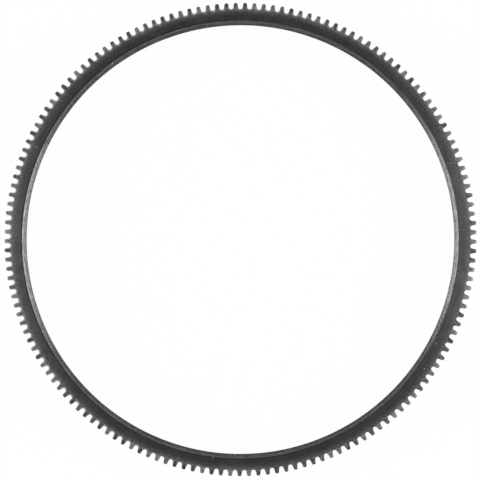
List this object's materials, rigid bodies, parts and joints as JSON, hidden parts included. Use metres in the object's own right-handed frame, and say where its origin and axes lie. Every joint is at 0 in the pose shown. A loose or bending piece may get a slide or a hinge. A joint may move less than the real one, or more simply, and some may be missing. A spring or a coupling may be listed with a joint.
{
  "type": "flywheel ring gear",
  "caption": "Thin steel starter ring with involute teeth round its outside and a plain chamfered bore that shrinks on a flywheel's rim.",
  "frame": {"origin": "centre of the bore, in the plane of the back face that the ring rests on", "axes": "+Z along the ring's axis towards the front face with the bore's lead-in chamfer; +X through the middle of a tooth gap"},
  "size_m": [0.3366, 0.3366, 0.0095],
  "materials": {
    "dark_steel": "satin"
  },
  "bodies": {
    "root": {"ring_gear": "dark_steel"}
  },
  "joints": []
}
